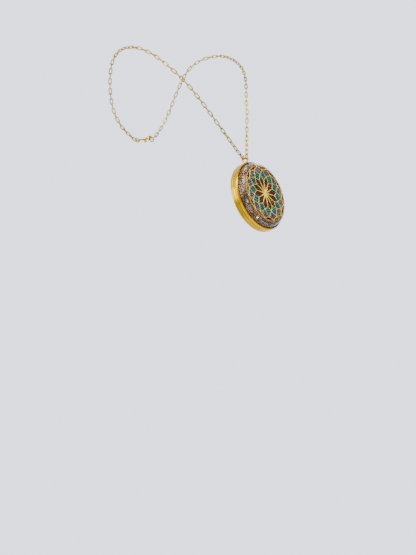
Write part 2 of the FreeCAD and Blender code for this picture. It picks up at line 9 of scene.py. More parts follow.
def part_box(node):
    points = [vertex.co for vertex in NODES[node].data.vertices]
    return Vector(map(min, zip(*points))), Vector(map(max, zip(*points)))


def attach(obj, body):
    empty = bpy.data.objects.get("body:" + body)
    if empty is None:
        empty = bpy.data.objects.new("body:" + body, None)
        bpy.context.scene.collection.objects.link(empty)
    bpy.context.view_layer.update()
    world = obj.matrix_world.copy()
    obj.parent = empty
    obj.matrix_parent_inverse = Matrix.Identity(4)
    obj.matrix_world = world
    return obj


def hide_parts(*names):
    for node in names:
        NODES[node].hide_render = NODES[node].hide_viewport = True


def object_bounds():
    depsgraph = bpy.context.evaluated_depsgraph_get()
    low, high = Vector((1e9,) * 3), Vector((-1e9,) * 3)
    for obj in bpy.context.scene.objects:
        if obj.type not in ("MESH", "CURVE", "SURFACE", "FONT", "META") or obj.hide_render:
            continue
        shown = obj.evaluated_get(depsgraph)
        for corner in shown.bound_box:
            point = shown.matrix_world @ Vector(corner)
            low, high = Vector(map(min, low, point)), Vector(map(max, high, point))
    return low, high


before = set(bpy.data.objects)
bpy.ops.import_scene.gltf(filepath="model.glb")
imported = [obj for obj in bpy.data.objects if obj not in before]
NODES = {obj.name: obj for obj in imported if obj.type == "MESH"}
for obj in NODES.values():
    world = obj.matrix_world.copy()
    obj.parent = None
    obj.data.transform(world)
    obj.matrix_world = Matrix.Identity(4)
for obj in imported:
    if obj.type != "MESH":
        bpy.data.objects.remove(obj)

# A round resin-domed locket on an elongated cable chain. Small shapes are worked out in
# millimetres in the case's own frame (x right, y towards the bail, z out of the face) and
# stood up by STAND. Everything else is in metres in the row's frame.

CAD_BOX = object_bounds()
MM = 0.001

shell_low, shell_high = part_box("back_shell")
dome_low, dome_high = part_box("resin_dome")
bezel_low, bezel_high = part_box("front_bezel")

BACK_Y = shell_high.y
CENTRE_Z = (shell_low.z + shell_high.z) / 2
CASE_RADIUS = (shell_high.x - shell_low.x) / 2 / MM
SEAM_LOW = (BACK_Y - shell_low.y) / MM
CASE_DEPTH = (BACK_Y - bezel_low.y) / MM
DOME_RADIUS = (dome_high.x - dome_low.x) / 2 / MM
DOME_BASE = (BACK_Y - dome_high.y) / MM
DOME_TOP = (BACK_Y - dome_low.y) / MM
GROOVE_MIDDLE = 1.65
SEAM_GAP = 0.1
SEAM_MIDDLE = SEAM_LOW + SEAM_GAP / 2
CASE_CENTRE = Vector((0, BACK_Y, CENTRE_Z))
STAND = (Matrix.Translation(CASE_CENTRE) @ Matrix.Rotation(math.radians(90), 4, "X")
         @ Matrix.Scale(MM, 4))


# ---------------------------------------------------------------- camera

CAMERA_DISTANCE = 0.6271
CAMERA_AZIMUTH = -55.98
CAMERA_ELEVATION = -8.91
LOOK_HEADING = 52.06
LOOK_PITCH = 5.39
LOOK_ROLL = 17.38
CAMERA_LENS = 86.54


def add_camera():
    """The photo's camera: a direction and distance from the case, then a heading of its own."""
    azimuth = math.radians(CAMERA_AZIMUTH)
    elevation = math.radians(CAMERA_ELEVATION)
    offset = Vector((math.sin(azimuth) * math.cos(elevation),
                     -math.cos(azimuth) * math.cos(elevation), math.sin(elevation)))
    data = bpy.data.cameras.new("camera")
    data.sensor_fit = "HORIZONTAL"
    data.sensor_width = 36
    data.lens = CAMERA_LENS
    data.clip_start = 0.01
    camera = bpy.data.objects.new("camera", data)
    turn = (Matrix.Rotation(math.radians(-LOOK_HEADING), 4, "Z")
            @ Matrix.Rotation(math.radians(90 + LOOK_PITCH), 4, "X")
            @ Matrix.Rotation(math.radians(-LOOK_ROLL), 4, "Z"))
    camera.matrix_world = Matrix.Translation(CASE_CENTRE + offset * CAMERA_DISTANCE) @ turn
    bpy.context.scene.collection.objects.link(camera)
    bpy.context.scene.camera = camera


add_camera()


# ---------------------------------------------------------------- mesh helpers

def new_piece(name, mesh, body, material, replaces):
    """Put a mesh in the scene, riding on a body and standing for CAD nodes."""
    piece = bpy.data.objects.new(name, mesh)
    bpy.context.scene.collection.objects.link(piece)
    mesh.materials.append(material)
    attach(piece, body)
    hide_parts(*replaces)
    return piece


def finish_mesh(name, bm, sharp=40, stand=True):
    """A smooth-shaded mesh from a bmesh, its edges sharp past an angle."""
    bmesh.ops.recalc_face_normals(bm, faces=bm.faces)
    if stand:
        bm.transform(STAND)
    mesh = bpy.data.meshes.new(name)
    bm.to_mesh(mesh)
    bm.free()
    mesh.shade_smooth()
    mesh.set_sharp_from_angle(angle=math.radians(sharp))
    return mesh


def rounded(corners, radii, steps=5):
    """An outline with its corners rounded by arcs of the given radii."""
    points = []
    count = len(corners)
    for index, corner in enumerate(corners):
        radius = radii[index]
        here = Vector(corner)
        if not radius:
            points.append(here)
            continue
        before = (Vector(corners[index - 1]) - here).normalized()
        after = (Vector(corners[(index + 1) % count]) - here).normalized()
        half = before.angle(after) / 2
        reach = radius / math.tan(half)
        middle = here + (before + after).normalized() * (radius / math.sin(half))
        start = here + before * reach - middle
        end = here + after * reach - middle
        first = math.atan2(start.y, start.x)
        sweep = (math.atan2(end.y, end.x) - first + math.pi) % (2 * math.pi) - math.pi
        for step in range(steps + 1):
            angle = first + sweep * step / steps
            points.append(middle + Vector((math.cos(angle), math.sin(angle))) * radius)
    return points


def turned(name, outline, segments=240):
    """A solid turned about the case's axis from a closed outline of (radius, height)."""
    bm = bmesh.new()
    rings = []
    for radius, height in outline:
        if radius < 1e-6:
            rings.append([bm.verts.new((0, 0, height))])
            continue
        ring = []
        for index in range(segments):
            angle = 2 * math.pi * index / segments
            ring.append(bm.verts.new((radius * math.cos(angle), radius * math.sin(angle), height)))
        rings.append(ring)
    for here, there in zip(rings, rings[1:] + rings[:1]):
        for index in range(segments):
            after = (index + 1) % segments
            corners = [here[index % len(here)], here[after % len(here)],
                       there[after % len(there)], there[index % len(there)]]
            corners = [c for n, c in enumerate(corners) if c not in corners[:n]]
            if len(corners) > 2:
                bm.faces.new(corners)
    return finish_mesh(name, bm)


def join_rings(bm, pairs):
    """Skin between pairs of rings that have the same number of vertices."""
    for here, there in pairs:
        for step in range(len(here)):
            after = (step + 1) % len(here)
            bm.faces.new([here[step], here[after], there[after], there[step]])


def wire_ring(bm, point, out, side, wire, sides, place=Matrix()):
    """A round wire's section at a point, between the directions out and side."""
    angles = [2 * math.pi * k / sides for k in range(sides)]
    return [bm.verts.new(place @ (point + out * (wire * math.cos(a)) + side * (wire * math.sin(a))))
            for a in angles]


def add_tube(bm, points, radius, sides, closed=False, flat=1.0):
    """A wire through points, its section squashed towards z by flat."""
    rings = []
    count = len(points)
    for index, point in enumerate(points):
        before = points[index - 1] if index or closed else point
        after = points[(index + 1) % count] if index < count - 1 or closed else point
        along = (after - before).normalized()
        side = along.cross(Vector((0, 0, 1)))
        side = side.normalized() if side.length > 1e-4 else Vector((1, 0, 0))
        up = side.cross(along)
        ring = []
        for step in range(sides):
            angle = 2 * math.pi * step / sides
            ring.append(bm.verts.new(point + side * (radius * math.cos(angle))
                                     + up * (radius * flat * math.sin(angle))))
        rings.append(ring)
    join_rings(bm, zip(rings, rings[1:] + (rings[:1] if closed else [])))
    if not closed:
        bm.faces.new(rings[0])
        bm.faces.new(rings[-1])


def add_ball(bm, middle, radius, flat=1.0):
    """A small granule."""
    place = Matrix.Translation(middle) @ Matrix.Diagonal((1, 1, flat, 1))
    bmesh.ops.create_uvsphere(bm, u_segments=14, v_segments=9, radius=radius, matrix=place)


# ---------------------------------------------------------------- materials

class Nodes:
    """A short way to write a material's node tree."""

    def __init__(self, name):
        self.material = bpy.data.materials.new(name)
        self.material.use_nodes = True
        self.tree = self.material.node_tree
        self.shader = self.tree.nodes["Principled BSDF"]
        self.output = self.tree.nodes["Material Output"]

    def add(self, kind, **settings):
        """A new shader node with these settings."""
        node = self.tree.nodes.new("ShaderNode" + kind)
        for key, value in settings.items():
            setattr(node, key, value)
        return node

    def link(self, start, end):
        self.tree.links.new(start, end)

    def place(self):
        """Coordinates in the piece's own metres."""
        return self.add("TexCoord").outputs["Object"]

    def math(self, operation, first, second=None):
        """A sum of sockets or numbers."""
        node = self.add("Math", operation=operation)
        for socket, value in zip(node.inputs, (first, second)):
            if value is None:
                continue
            if isinstance(value, (int, float)):
                socket.default_value = value
            else:
                self.link(value, socket)
        return node.outputs[0]

    def noise(self, vector, scale, detail, roughness):
        """Cloudy noise from 0 to 1, with scale in waves per metre."""
        node = self.add("TexNoise")
        node.inputs["Scale"].default_value = scale
        node.inputs["Detail"].default_value = detail
        node.inputs["Roughness"].default_value = roughness
        self.link(vector, node.inputs["Vector"])
        return node.outputs["Fac"]

    def ramp(self, value, stops):
        """Colours by value. Each stop is (position, (r, g, b))."""
        node = self.add("ValToRGB")
        elements = node.color_ramp.elements
        while len(elements) < len(stops):
            elements.new(0.5)
        for element, (position, colour) in zip(elements, stops):
            element.position = position
            element.color = (*colour, 1)
        self.link(value, node.inputs["Fac"])
        return node.outputs["Color"]

    def span(self, value, low, high, start=0.0, end=1.0):
        """Map a value from 0..1 (or start..end) to low..high."""
        node = self.add("MapRange")
        self.link(value, node.inputs["Value"])
        node.inputs["From Min"].default_value = start
        node.inputs["From Max"].default_value = end
        node.inputs["To Min"].default_value = low
        node.inputs["To Max"].default_value = high
        return node.outputs["Result"]

    def mix(self, factor, first, second):
        """One colour over another by a factor."""
        node = self.add("Mix", data_type="RGBA")
        for socket, value in ((node.inputs["Factor"], factor), (node.inputs[6], first),
                              (node.inputs[7], second)):
            if isinstance(value, (int, float)):
                socket.default_value = value
            elif isinstance(value, tuple):
                socket.default_value = (*value, 1)
            else:
                self.link(value, socket)
        return node.outputs[2]

    def bump(self, height, strength, distance):
        """Small relief, with distance in metres."""
        node = self.add("Bump")
        node.inputs["Strength"].default_value = strength
        node.inputs["Distance"].default_value = distance
        self.link(height, node.inputs["Height"])
        self.link(node.outputs["Normal"], self.shader.inputs["Normal"])

    def set(self, **values):
        """Values, colours or sockets for the surface shader's inputs."""
        for key, value in values.items():
            socket = self.shader.inputs[key.replace("_", " ")]
            if isinstance(value, tuple):
                socket.default_value = (*value, 1)
            elif isinstance(value, (int, float)):
                socket.default_value = value
            else:
                self.link(value, socket)

    def let_lamps_through(self, colour=(1, 1, 1)):
        """Clear to shadow rays, so that the lamps reach what lies behind."""
        ray = self.add("LightPath")
        gap = self.add("BsdfTransparent")
        gap.inputs["Color"].default_value = (*colour, 1)
        blend = self.add("MixShader")
        self.link(ray.outputs["Is Shadow Ray"], blend.inputs[0])
        self.link(self.shader.outputs[0], blend.inputs[1])
        self.link(gap.outputs[0], blend.inputs[2])
        self.link(blend.outputs[0], self.output.inputs["Surface"])


def turned_coordinates(n):
    """Radius from the case's axis and depth, so that a texture runs round the case."""
    parts = n.add("SeparateXYZ")
    n.link(n.place(), parts.inputs[0])
    across = n.math("MULTIPLY", parts.outputs["X"], parts.outputs["X"])
    height = n.math("SUBTRACT", parts.outputs["Z"], CENTRE_Z)
    radius = n.math("SQRT", n.math("ADD", across, n.math("MULTIPLY", height, height)))
    joined = n.add("CombineXYZ")
    n.link(radius, joined.inputs["X"])
    n.link(parts.outputs["Y"], joined.inputs["Y"])
    return joined.outputs[0]


def turned_gold():
    """Satin gold plate with the fine lines of turning round the band, and painted shade along the
    groove and the seam.
    """
    n = Nodes("turned_gold")
    parts = n.add("SeparateXYZ")
    n.link(n.place(), parts.inputs[0])
    # Painted shade: the gold darkens in narrow bands along the turned groove and the seam between
    # back and front.
    groove_shade = None
    for line in (GROOVE_MIDDLE, SEAM_MIDDLE):
        away = n.math("ABSOLUTE", n.math("ADD", parts.outputs["Y"], line * MM - BACK_Y))
        dark = n.span(away, 1.0, 0.0, 0.00008, 0.00042)
        groove_shade = dark if groove_shade is None else n.math("MAXIMUM", groove_shade, dark)
    lines = n.noise(turned_coordinates(n), 5200, 2.0, 0.6)
    broad = n.noise(turned_coordinates(n), 900, 2.0, 0.5)
    smudge = n.noise(n.place(), 190, 4.0, 0.6)
    shade = n.math("ADD", n.math("MULTIPLY", lines, 0.35), n.math("MULTIPLY", broad, 0.65))
    tint = n.ramp(shade, [(0.3, (0.34, 0.17, 0.0)), (0.52, (0.60, 0.36, 0.0)),
                          (0.72, (0.74, 0.50, 0.0))])
    satin = n.mix(n.span(smudge, 0.0, 0.3), tint, (0.56, 0.31, 0.0))
    n.set(Base_Color=n.mix(n.math("MULTIPLY", groove_shade, 0.8), satin, (0.30, 0.12, 0.0)),
          Metallic=1.0, Roughness=n.span(smudge, 0.22, 0.36), Anisotropic=0.35)
    n.bump(lines, 0.16, 0.00004)
    return n.material


def cast_gold(name, deep, bright, roughness, scale=260, metallic=1.0):
    """Gold with slight unevenness, darker in its low spots."""
    n = Nodes(name)
    soft = n.noise(n.place(), scale, 3.0, 0.55)
    fine = n.noise(n.place(), scale * 9, 2.0, 0.5)
    tint = n.ramp(soft, [(0.3, deep), (0.62, bright)])
    n.set(Base_Color=tint, Metallic=metallic,
          Roughness=n.span(fine, roughness * 0.75, roughness * 1.35))
    n.bump(n.math("ADD", soft, n.math("MULTIPLY", fine, 0.2)), 0.12, 0.00006)
    return n.material


def clear_resin():
    """Clear poured resin that lets the lamps reach what is set in it."""
    n = Nodes("clear_resin")
    scratches = n.noise(n.place(), 900, 4.0, 0.7)
    n.set(Base_Color=(0.97, 0.94, 0.90), Roughness=n.span(scratches, 0.015, 0.05),
          IOR=1.3, Transmission_Weight=1.0)
    n.bump(n.noise(n.place(), 140, 1.0, 0.4), 0.03, 0.0002)
    n.let_lamps_through((0.96, 0.93, 0.90))
    return n.material


def dark_resin():
    """Deep brown resin with rust clouds and gold dust in it."""
    n = Nodes("dark_resin")
    clouds = n.noise(n.place(), 320, 5.0, 0.6)
    dust = n.noise(n.place(), 2200, 2.0, 0.5)
    body = n.ramp(clouds, [(0.36, (0.010, 0.005, 0.003)), (0.48, (0.060, 0.026, 0.008)),
                           (0.58, (0.13, 0.085, 0.022)), (0.70, (0.32, 0.10, 0.035))])
    n.set(Base_Color=n.mix(n.span(dust, 0.0, 1.0, 0.70, 0.78), body, (0.85, 0.52, 0.15)),
          Roughness=n.span(clouds, 0.4, 0.6))
    n.bump(clouds, 0.2, 0.0002)
    return n.material


VEIN_WANDER = 0.0009
# Painted shade: stones below the case's middle blend towards the darker low tone, by this share and
# over this fade.
LOWER_SHADE_SHARE = 0.85
LOWER_SHADE_FADE = (-0.006, 0.010)


def stone(name, stops, scale, roughness, vein=None, low=None, gloss=0.3, detail=5.0):
    """Mottled stone, with veins, a gloss coat and, where given, a darker tone painted lower down as
    shade.
    """
    n = Nodes(name)
    mottle = n.noise(n.place(), scale, detail, 0.62)
    colour = n.ramp(mottle, stops)
    if vein:
        cells = n.add("TexVoronoi", feature="DISTANCE_TO_EDGE")
        cells.inputs["Scale"].default_value = scale * 1.7
        warp = n.add("VectorMath", operation="ADD")
        n.link(n.place(), warp.inputs[0])
        cloud = n.add("TexNoise")
        cloud.inputs["Scale"].default_value = scale * 1.3
        n.link(n.place(), cloud.inputs["Vector"])
        shift = n.add("VectorMath", operation="SCALE")
        n.link(cloud.outputs["Color"], shift.inputs[0])
        shift.inputs["Scale"].default_value = VEIN_WANDER
        n.link(shift.outputs[0], warp.inputs[1])
        n.link(warp.outputs[0], cells.inputs["Vector"])
        edge = n.span(cells.outputs["Distance"], 1.0, 0.0, 0.0, 0.07)
        colour = n.mix(edge, colour, vein)
    # Painted shade: darker towards the bottom of the case.
    if low:
        parts = n.add("SeparateXYZ")
        n.link(n.place(), parts.inputs[0])
        rise = n.math("SUBTRACT", parts.outputs["Z"], CENTRE_Z)
        under = n.span(rise, LOWER_SHADE_SHARE, 0.0, *LOWER_SHADE_FADE)
        colour = n.mix(under, colour, low)
    n.set(Base_Color=colour, Roughness=n.span(mottle, roughness * 0.8, roughness * 1.3),
          Coat_Weight=gloss)
    n.bump(mottle, 0.15, 0.0001)
    return n.material


def copper(name, stops, scale):
    """Copper in the tones given, by how tarnished it is."""
    n = Nodes(name)
    tarnish = n.noise(n.place(), scale, 4.0, 0.6)
    tint = n.ramp(tarnish, stops)
    n.set(Base_Color=tint, Metallic=0.7, Roughness=n.span(tarnish, 0.18, 0.38))
    n.bump(tarnish, 0.2, 0.0001)
    return n.material


def card_paper():
    """A blank picture card: soft paper grain with faint cloudy toning."""
    n = Nodes("card_paper")
    grain = n.noise(n.place(), 2600, 4.0, 0.65)
    tone = n.noise(n.place(), 60, 2.0, 0.5)
    base = n.ramp(tone, [(0.3, (0.74, 0.70, 0.62)), (0.7, (0.86, 0.83, 0.77))])
    n.set(Base_Color=n.mix(n.span(grain, 0.0, 0.25), base, (0.62, 0.56, 0.47)), Roughness=0.85)
    n.bump(grain, 0.3, 0.00005)
    return n.material


def lens_sheet():
    """A thin clear sheet over the picture."""
    n = Nodes("lens_sheet")
    haze = n.noise(n.place(), 800, 3.0, 0.6)
    n.set(Base_Color=(0.98, 0.98, 0.97), Roughness=n.span(haze, 0.02, 0.07), IOR=1.3,
          Transmission_Weight=1.0)
    n.let_lamps_through()
    return n.material


GOLD = turned_gold()
BAIL_GOLD = cast_gold("bail_gold", (0.56, 0.28, 0.0), (0.90, 0.54, 0.0), 0.22)
CHAIN_GOLD = cast_gold("chain_gold", (0.26, 0.155, 0.0), (0.58, 0.38, 0.0), 0.2, 340)
FILIGREE_GOLD = cast_gold("filigree_gold", (0.92, 0.62, 0.0), (1.0, 0.80, 0.04), 0.34, 500, 0.35)
LEAF_GOLD = cast_gold("leaf_gold", (0.80, 0.50, 0.12), (1.0, 0.80, 0.35), 0.3, 700)
STEEL = cast_gold("spring_steel", (0.35, 0.35, 0.36), (0.62, 0.62, 0.64), 0.3)
RESIN = clear_resin()
CORE = dark_resin()
GARNET = stone("garnet", [(0.3, (0.018, 0.006, 0.006)), (0.55, (0.050, 0.018, 0.016)),
                          (0.75, (0.13, 0.050, 0.040))], 520, 0.3)
TURQUOISE = stone("turquoise", [(0.3, (0.002, 0.035, 0.038)), (0.52, (0.004, 0.105, 0.105)),
                                (0.75, (0.02, 0.24, 0.22))], 520, 0.35, (0.006, 0.03, 0.035))
AMETHYST = stone("amethyst", [(0.3, (0.020, 0.014, 0.017)), (0.52, (0.080, 0.060, 0.072)),
                              (0.75, (0.26, 0.22, 0.25))], 620, 0.35)
SMOKY = stone("smoky_amethyst", [(0.40, (0.020, 0.010, 0.005)), (0.5, (0.075, 0.036, 0.014)),
                                 (0.62, (0.26, 0.12, 0.055))], 140, 0.45, gloss=0.0,
              detail=1.0)
# The quartz's low tone is painted shade on the chips below the case's middle.
QUARTZ = stone("quartz", [(0.40, (0.085, 0.055, 0.060)), (0.5, (0.26, 0.21, 0.27)),
                          (0.60, (0.60, 0.54, 0.68))], 140, 0.45, low=(0.060, 0.032, 0.015),
               gloss=0.0, detail=1.0)
COPPER = copper("copper", [(0.3, (0.26, 0.05, 0.02)), (0.5, (0.62, 0.17, 0.07)),
                           (0.75, (0.72, 0.24, 0.11))], 420)
RUST = copper("rust", [(0.38, (0.050, 0.020, 0.011)), (0.52, (0.26, 0.055, 0.025)),
                       (0.66, (0.72, 0.22, 0.12))], 300)
CARD = card_paper()
LENS = lens_sheet()


# ---------------------------------------------------------------- case

def build_case():
    """The back with its turned groove, and the front with its lip, web and seat."""
    wall = 1.2
    floor = 0.8
    groove_half = 0.24
    groove_depth = 0.2
    inner = CASE_RADIUS - wall
    line = GROOVE_MIDDLE
    outline = rounded(
        [(0, 0), (CASE_RADIUS, 0), (CASE_RADIUS, line - groove_half),
         (CASE_RADIUS - groove_depth, line), (CASE_RADIUS, line + groove_half),
         (CASE_RADIUS, SEAM_LOW), (inner, SEAM_LOW),
         (inner, floor), (0, floor)],
        [0, 0.45, 0.08, 0.08, 0.08, 0.24, 0.08, 0.1, 0])
    new_piece("back_case", turned("back_case", outline), "locket", GOLD, ["back_shell"])
    seam = SEAM_LOW + SEAM_GAP
    lip = 21.2
    lip_inner = 20.4
    lip_low = 2.9
    web_low = 4.35
    shoulder = 0.55
    front = (bezel_high.x - bezel_low.x) / 2 / MM - shoulder
    play = 0.05
    seat = DOME_RADIUS + play
    outline = rounded(
        [(lip_inner, lip_low), (lip, lip_low), (lip, seam), (CASE_RADIUS, seam),
         (CASE_RADIUS, web_low), (front, CASE_DEPTH), (seat, CASE_DEPTH), (seat, DOME_BASE),
         (0, DOME_BASE), (0, web_low), (lip_inner, web_low)],
        [0.1, 0.1, 0, 0.24, 0.5, 0.28, 0.08, 0, 0, 0, 0.1])
    new_piece("front_case", turned("front_case", outline), "front_cover", GOLD,
              ["front_bezel"])


def build_dome():
    """The clear cap: an upright side, a rolled shoulder and a slightly crowned top."""
    shoulder = 4.3
    side = DOME_TOP - shoulder
    points = [(0, DOME_BASE), (DOME_RADIUS, DOME_BASE), (DOME_RADIUS, side)]
    steps = 28
    crown_steps = 9
    crown = 0.22
    for step in range(1, steps + 1):
        angle = math.pi / 2 * step / steps
        radius = DOME_RADIUS - shoulder + shoulder * math.cos(angle)
        points.append((radius, side + (shoulder - crown) * math.sin(angle)))
    edge = DOME_RADIUS - shoulder
    for step in range(1, crown_steps + 1):
        radius = edge * (1 - step / crown_steps)
        points.append((radius, DOME_TOP - crown * (radius / edge) ** 2))
    new_piece("resin_cap", turned("resin_cap", points), "front_cover", RESIN,
              ["resin_dome"])


build_case()
build_dome()


# ---------------------------------------------------------------- mandala

PETALS = 12
STAR = 1.3
PETAL_SIDE = 8.8
PETAL_TIP = 12.0
KITE_TIP = 15.9
OUTER_TIP = 17.6
BORDER = 17.85
WIRE = 0.15
BORDER_WIRE = 0.08
BORDER_SET_OUT = 0.22
INLAY_GAP = 0.16
WIRE_HEIGHT = 0.26
STAR_FOOT = 0.1
STAR_WAIST = 0.36
STAR_RIDGE = 0.52
mandala_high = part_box("mandala_filigree")[1]
MANDALA_LOW = (BACK_Y - mandala_high.y) / MM


def polar(radius, steps, height=0.0):
    """A point at a radius, turned by half petals."""
    angle = math.pi / PETALS * steps
    return Vector((radius * math.cos(angle), radius * math.sin(angle), height))


def mandala_cells():
    """The cells of one twelfth, each as its corners."""
    return {
        "petal": [polar(STAR, 0), polar(PETAL_SIDE, 1), polar(PETAL_TIP, 0),
                  polar(PETAL_SIDE, -1)],
        "turquoise": [polar(PETAL_SIDE, 1), polar(PETAL_TIP, 2), polar(KITE_TIP, 1),
                      polar(PETAL_TIP, 0)],
        "amethyst": [polar(PETAL_TIP, 0), polar(KITE_TIP, 1), polar(OUTER_TIP, 0),
                     polar(KITE_TIP, -1)],
        "copper": [polar(KITE_TIP, 1), polar(OUTER_TIP, 2), polar(BORDER, 1.5),
                   polar(BORDER, 0.5), polar(OUTER_TIP, 0)],
    }


def inset(corners, distance):
    """A convex outline drawn in by a distance on every side."""
    count = len(corners)
    middle = sum(corners, Vector()) / count
    lines = []
    for here, there in zip(corners, corners[1:] + corners[:1]):
        along = (there - here).normalized()
        normal = Vector((-along.y, along.x, 0))
        if normal.dot(middle - here) < 0:
            normal = -normal
        lines.append((here + normal * distance, along))
    drawn = []
    for index in range(count):
        first, ahead = lines[index - 1]
        second, other = lines[index]
        turn = ahead.x * other.y - ahead.y * other.x
        gap = second - first
        reach = (gap.x * other.y - gap.y * other.x) / turn
        drawn.append(first + ahead * reach)
    return drawn


def add_cabochon(bm, corners, low, high, turn):
    """A stone cut to a cell: upright sides, a rolled edge and a crowned top."""
    spin = Matrix.Rotation(turn, 4, "Z")
    levels = [(0.0, 0.0), (0.0, 0.62), (0.10, 0.82), (0.28, 0.95), (0.6, 1.0)]
    rings = []
    for drawn, share in levels:
        height = low + (high - low) * share
        outline = inset(corners, drawn) if drawn else corners
        split = []
        for here, there in zip(outline, outline[1:] + outline[:1]):
            for step in range(4):
                point = here.lerp(there, step / 4)
                split.append(bm.verts.new(spin @ Vector((point.x, point.y, height))))
        rings.append(split)
    for here, there in zip(rings, rings[1:]):
        for index in range(len(here)):
            after = (index + 1) % len(here)
            bm.faces.new([here[index], here[after], there[after], there[index]])
    bm.faces.new(rings[0])
    bm.faces.new(rings[-1])


def build_inlays():
    """Twelve stones of each kind, one mesh to a kind."""
    kinds = {"petal": (GARNET, "garnet_inlay", "petal_inlays", 0.34),
             "turquoise": (TURQUOISE, "turquoise", "turquoise_inlays", 0.42),
             "amethyst": (AMETHYST, "amethyst", "amethyst_inlays", 0.40),
             "copper": (RUST, "copper", "copper_inlays", 0.34)}
    for kind, corners in mandala_cells().items():
        material, slot, node, rise = kinds[kind]
        bm = bmesh.new()
        cut = inset(corners, INLAY_GAP)
        for index in range(PETALS):
            add_cabochon(bm, cut, MANDALA_LOW, MANDALA_LOW + rise, 2 * math.pi * index / PETALS)
        new_piece(node.replace("_inlays", "_stones"), finish_mesh(node, bm, 35), "front_cover",
                  material, [node])


def build_filigree():
    """Half-round wires along every cell edge, granules on the crossings, star and border."""
    bm = bmesh.new()
    height = MANDALA_LOW + WIRE_HEIGHT
    for index in range(PETALS):
        step = 2 * index
        wires = [(polar(STAR, step), polar(PETAL_SIDE, step + 1)),
                 (polar(STAR, step), polar(PETAL_SIDE, step - 1)),
                 (polar(PETAL_SIDE, step + 1), polar(PETAL_TIP, step)),
                 (polar(PETAL_SIDE, step + 1), polar(PETAL_TIP, step + 2)),
                 (polar(PETAL_TIP, step), polar(KITE_TIP, step + 1)),
                 (polar(PETAL_TIP, step), polar(KITE_TIP, step - 1)),
                 (polar(KITE_TIP, step + 1), polar(OUTER_TIP, step)),
                 (polar(KITE_TIP, step + 1), polar(OUTER_TIP, step + 2))]
        for start, end in wires:
            start.z = height
            end.z = height
            add_tube(bm, [start, start.lerp(end, 0.5), end], WIRE, 8, flat=0.85)
        for radius, turn, size in ((PETAL_SIDE, 1, 0.34), (PETAL_TIP, 0, 0.38),
                                   (KITE_TIP, 1, 0.38), (OUTER_TIP, 0, 0.32)):
            add_ball(bm, polar(radius, step + turn, height + 0.05), size, 0.7)
    ring = [polar(BORDER + BORDER_SET_OUT, step / 4, height) for step in range(8 * PETALS)]
    add_tube(bm, ring, BORDER_WIRE, 8, closed=True, flat=0.8)
    star_height = MANDALA_LOW + STAR_RIDGE
    for index in range(PETALS):
        step = 2 * index
        left = bm.verts.new(polar(STAR, step, MANDALA_LOW + STAR_FOOT))
        right = bm.verts.new(polar(STAR, step + 2, MANDALA_LOW + STAR_FOOT))
        tip = bm.verts.new(polar(PETAL_SIDE * 0.55, step + 1, MANDALA_LOW + STAR_WAIST))
        ridge = bm.verts.new(polar(STAR * 0.8, step + 1, star_height))
        middle = bm.verts.new((0, 0, MANDALA_LOW + STAR_WAIST))
        for corners in ((left, tip, ridge), (tip, right, ridge), (right, middle, ridge),
                        (middle, left, ridge), (left, middle, right, tip)):
            bm.faces.new(corners)
    add_ball(bm, Vector((0, 0, star_height - 0.05)), 0.6, 0.55)
    new_piece("filigree", finish_mesh("filigree", bm, 50), "front_cover", FILIGREE_GOLD,
              ["mandala_filigree"])


def build_core():
    """The dark pour under the mandala, sloping out to a bed that the chips lie in."""
    foot = DOME_BASE + 0.02
    bed = 20.6
    table = 18.4
    top = 8.5
    outline = rounded([(0, foot), (bed, foot), (bed, 5.5), (18.9, 6.1), (17.5, 7.5),
                       (table, 8.0), (table, top), (0, top)],
                      [0, 0.1, 0.2, 0.5, 0.4, 0.15, 0.15, 0])
    new_piece("resin_heart", turned("resin_heart", outline), "front_cover", CORE,
              ["resin_core"])


# ---------------------------------------------------------------- chips in the dome's side

CHIP_PLACES = 36
CHIP_RING = 18.55
CHIP_FLOOR = 5.05


def chip_spots(offset):
    """The placing of every fourth place round the core, from an offset."""
    for index in range(CHIP_PLACES // 4):
        angle = 2 * math.pi * (4 * index + offset) / CHIP_PLACES
        yield Matrix.Rotation(angle, 4, "Z") @ Matrix.Translation((CHIP_RING, 0, 0))


def build_crystals(name, node, offset, seed, size, material):
    """Broken stones: hulls of a few scattered points."""
    rng = random.Random(seed)
    bm = bmesh.new()
    for place in chip_spots(offset):
        for share in (1.35, 0.9):
            width = size * share * rng.uniform(0.8, 1.1)
            stretch = rng.uniform(1.6, 2.7)
            lean = Matrix.Rotation(rng.uniform(-0.2, 0.2), 4, "X")
            shift = Matrix.Translation((rng.uniform(-0.3, 0.25), rng.uniform(-1.4, 1.4),
                                        CHIP_FLOOR + size / 2 + rng.uniform(0.0, 0.5)))
            points = []
            for _ in range(10):
                way = Vector((rng.gauss(0, 1), rng.gauss(0, 1), rng.gauss(0, 1))).normalized()
                way = Vector((way.x * 0.8, way.y * stretch, way.z * 0.85)) * (width / 2)
                points.append(bm.verts.new(place @ shift @ lean @ way))
            hull = bmesh.ops.convex_hull(bm, input=points)
            loose = [g for g in hull["geom_interior"] if isinstance(g, bmesh.types.BMVert)]
            bmesh.ops.delete(bm, geom=loose, context="VERTS")
    bmesh.ops.bevel(bm, geom=bm.edges[:], offset=0.05, segments=1, affect="EDGES")
    new_piece(name, finish_mesh(name, bm, 85), "front_cover", material, [node])


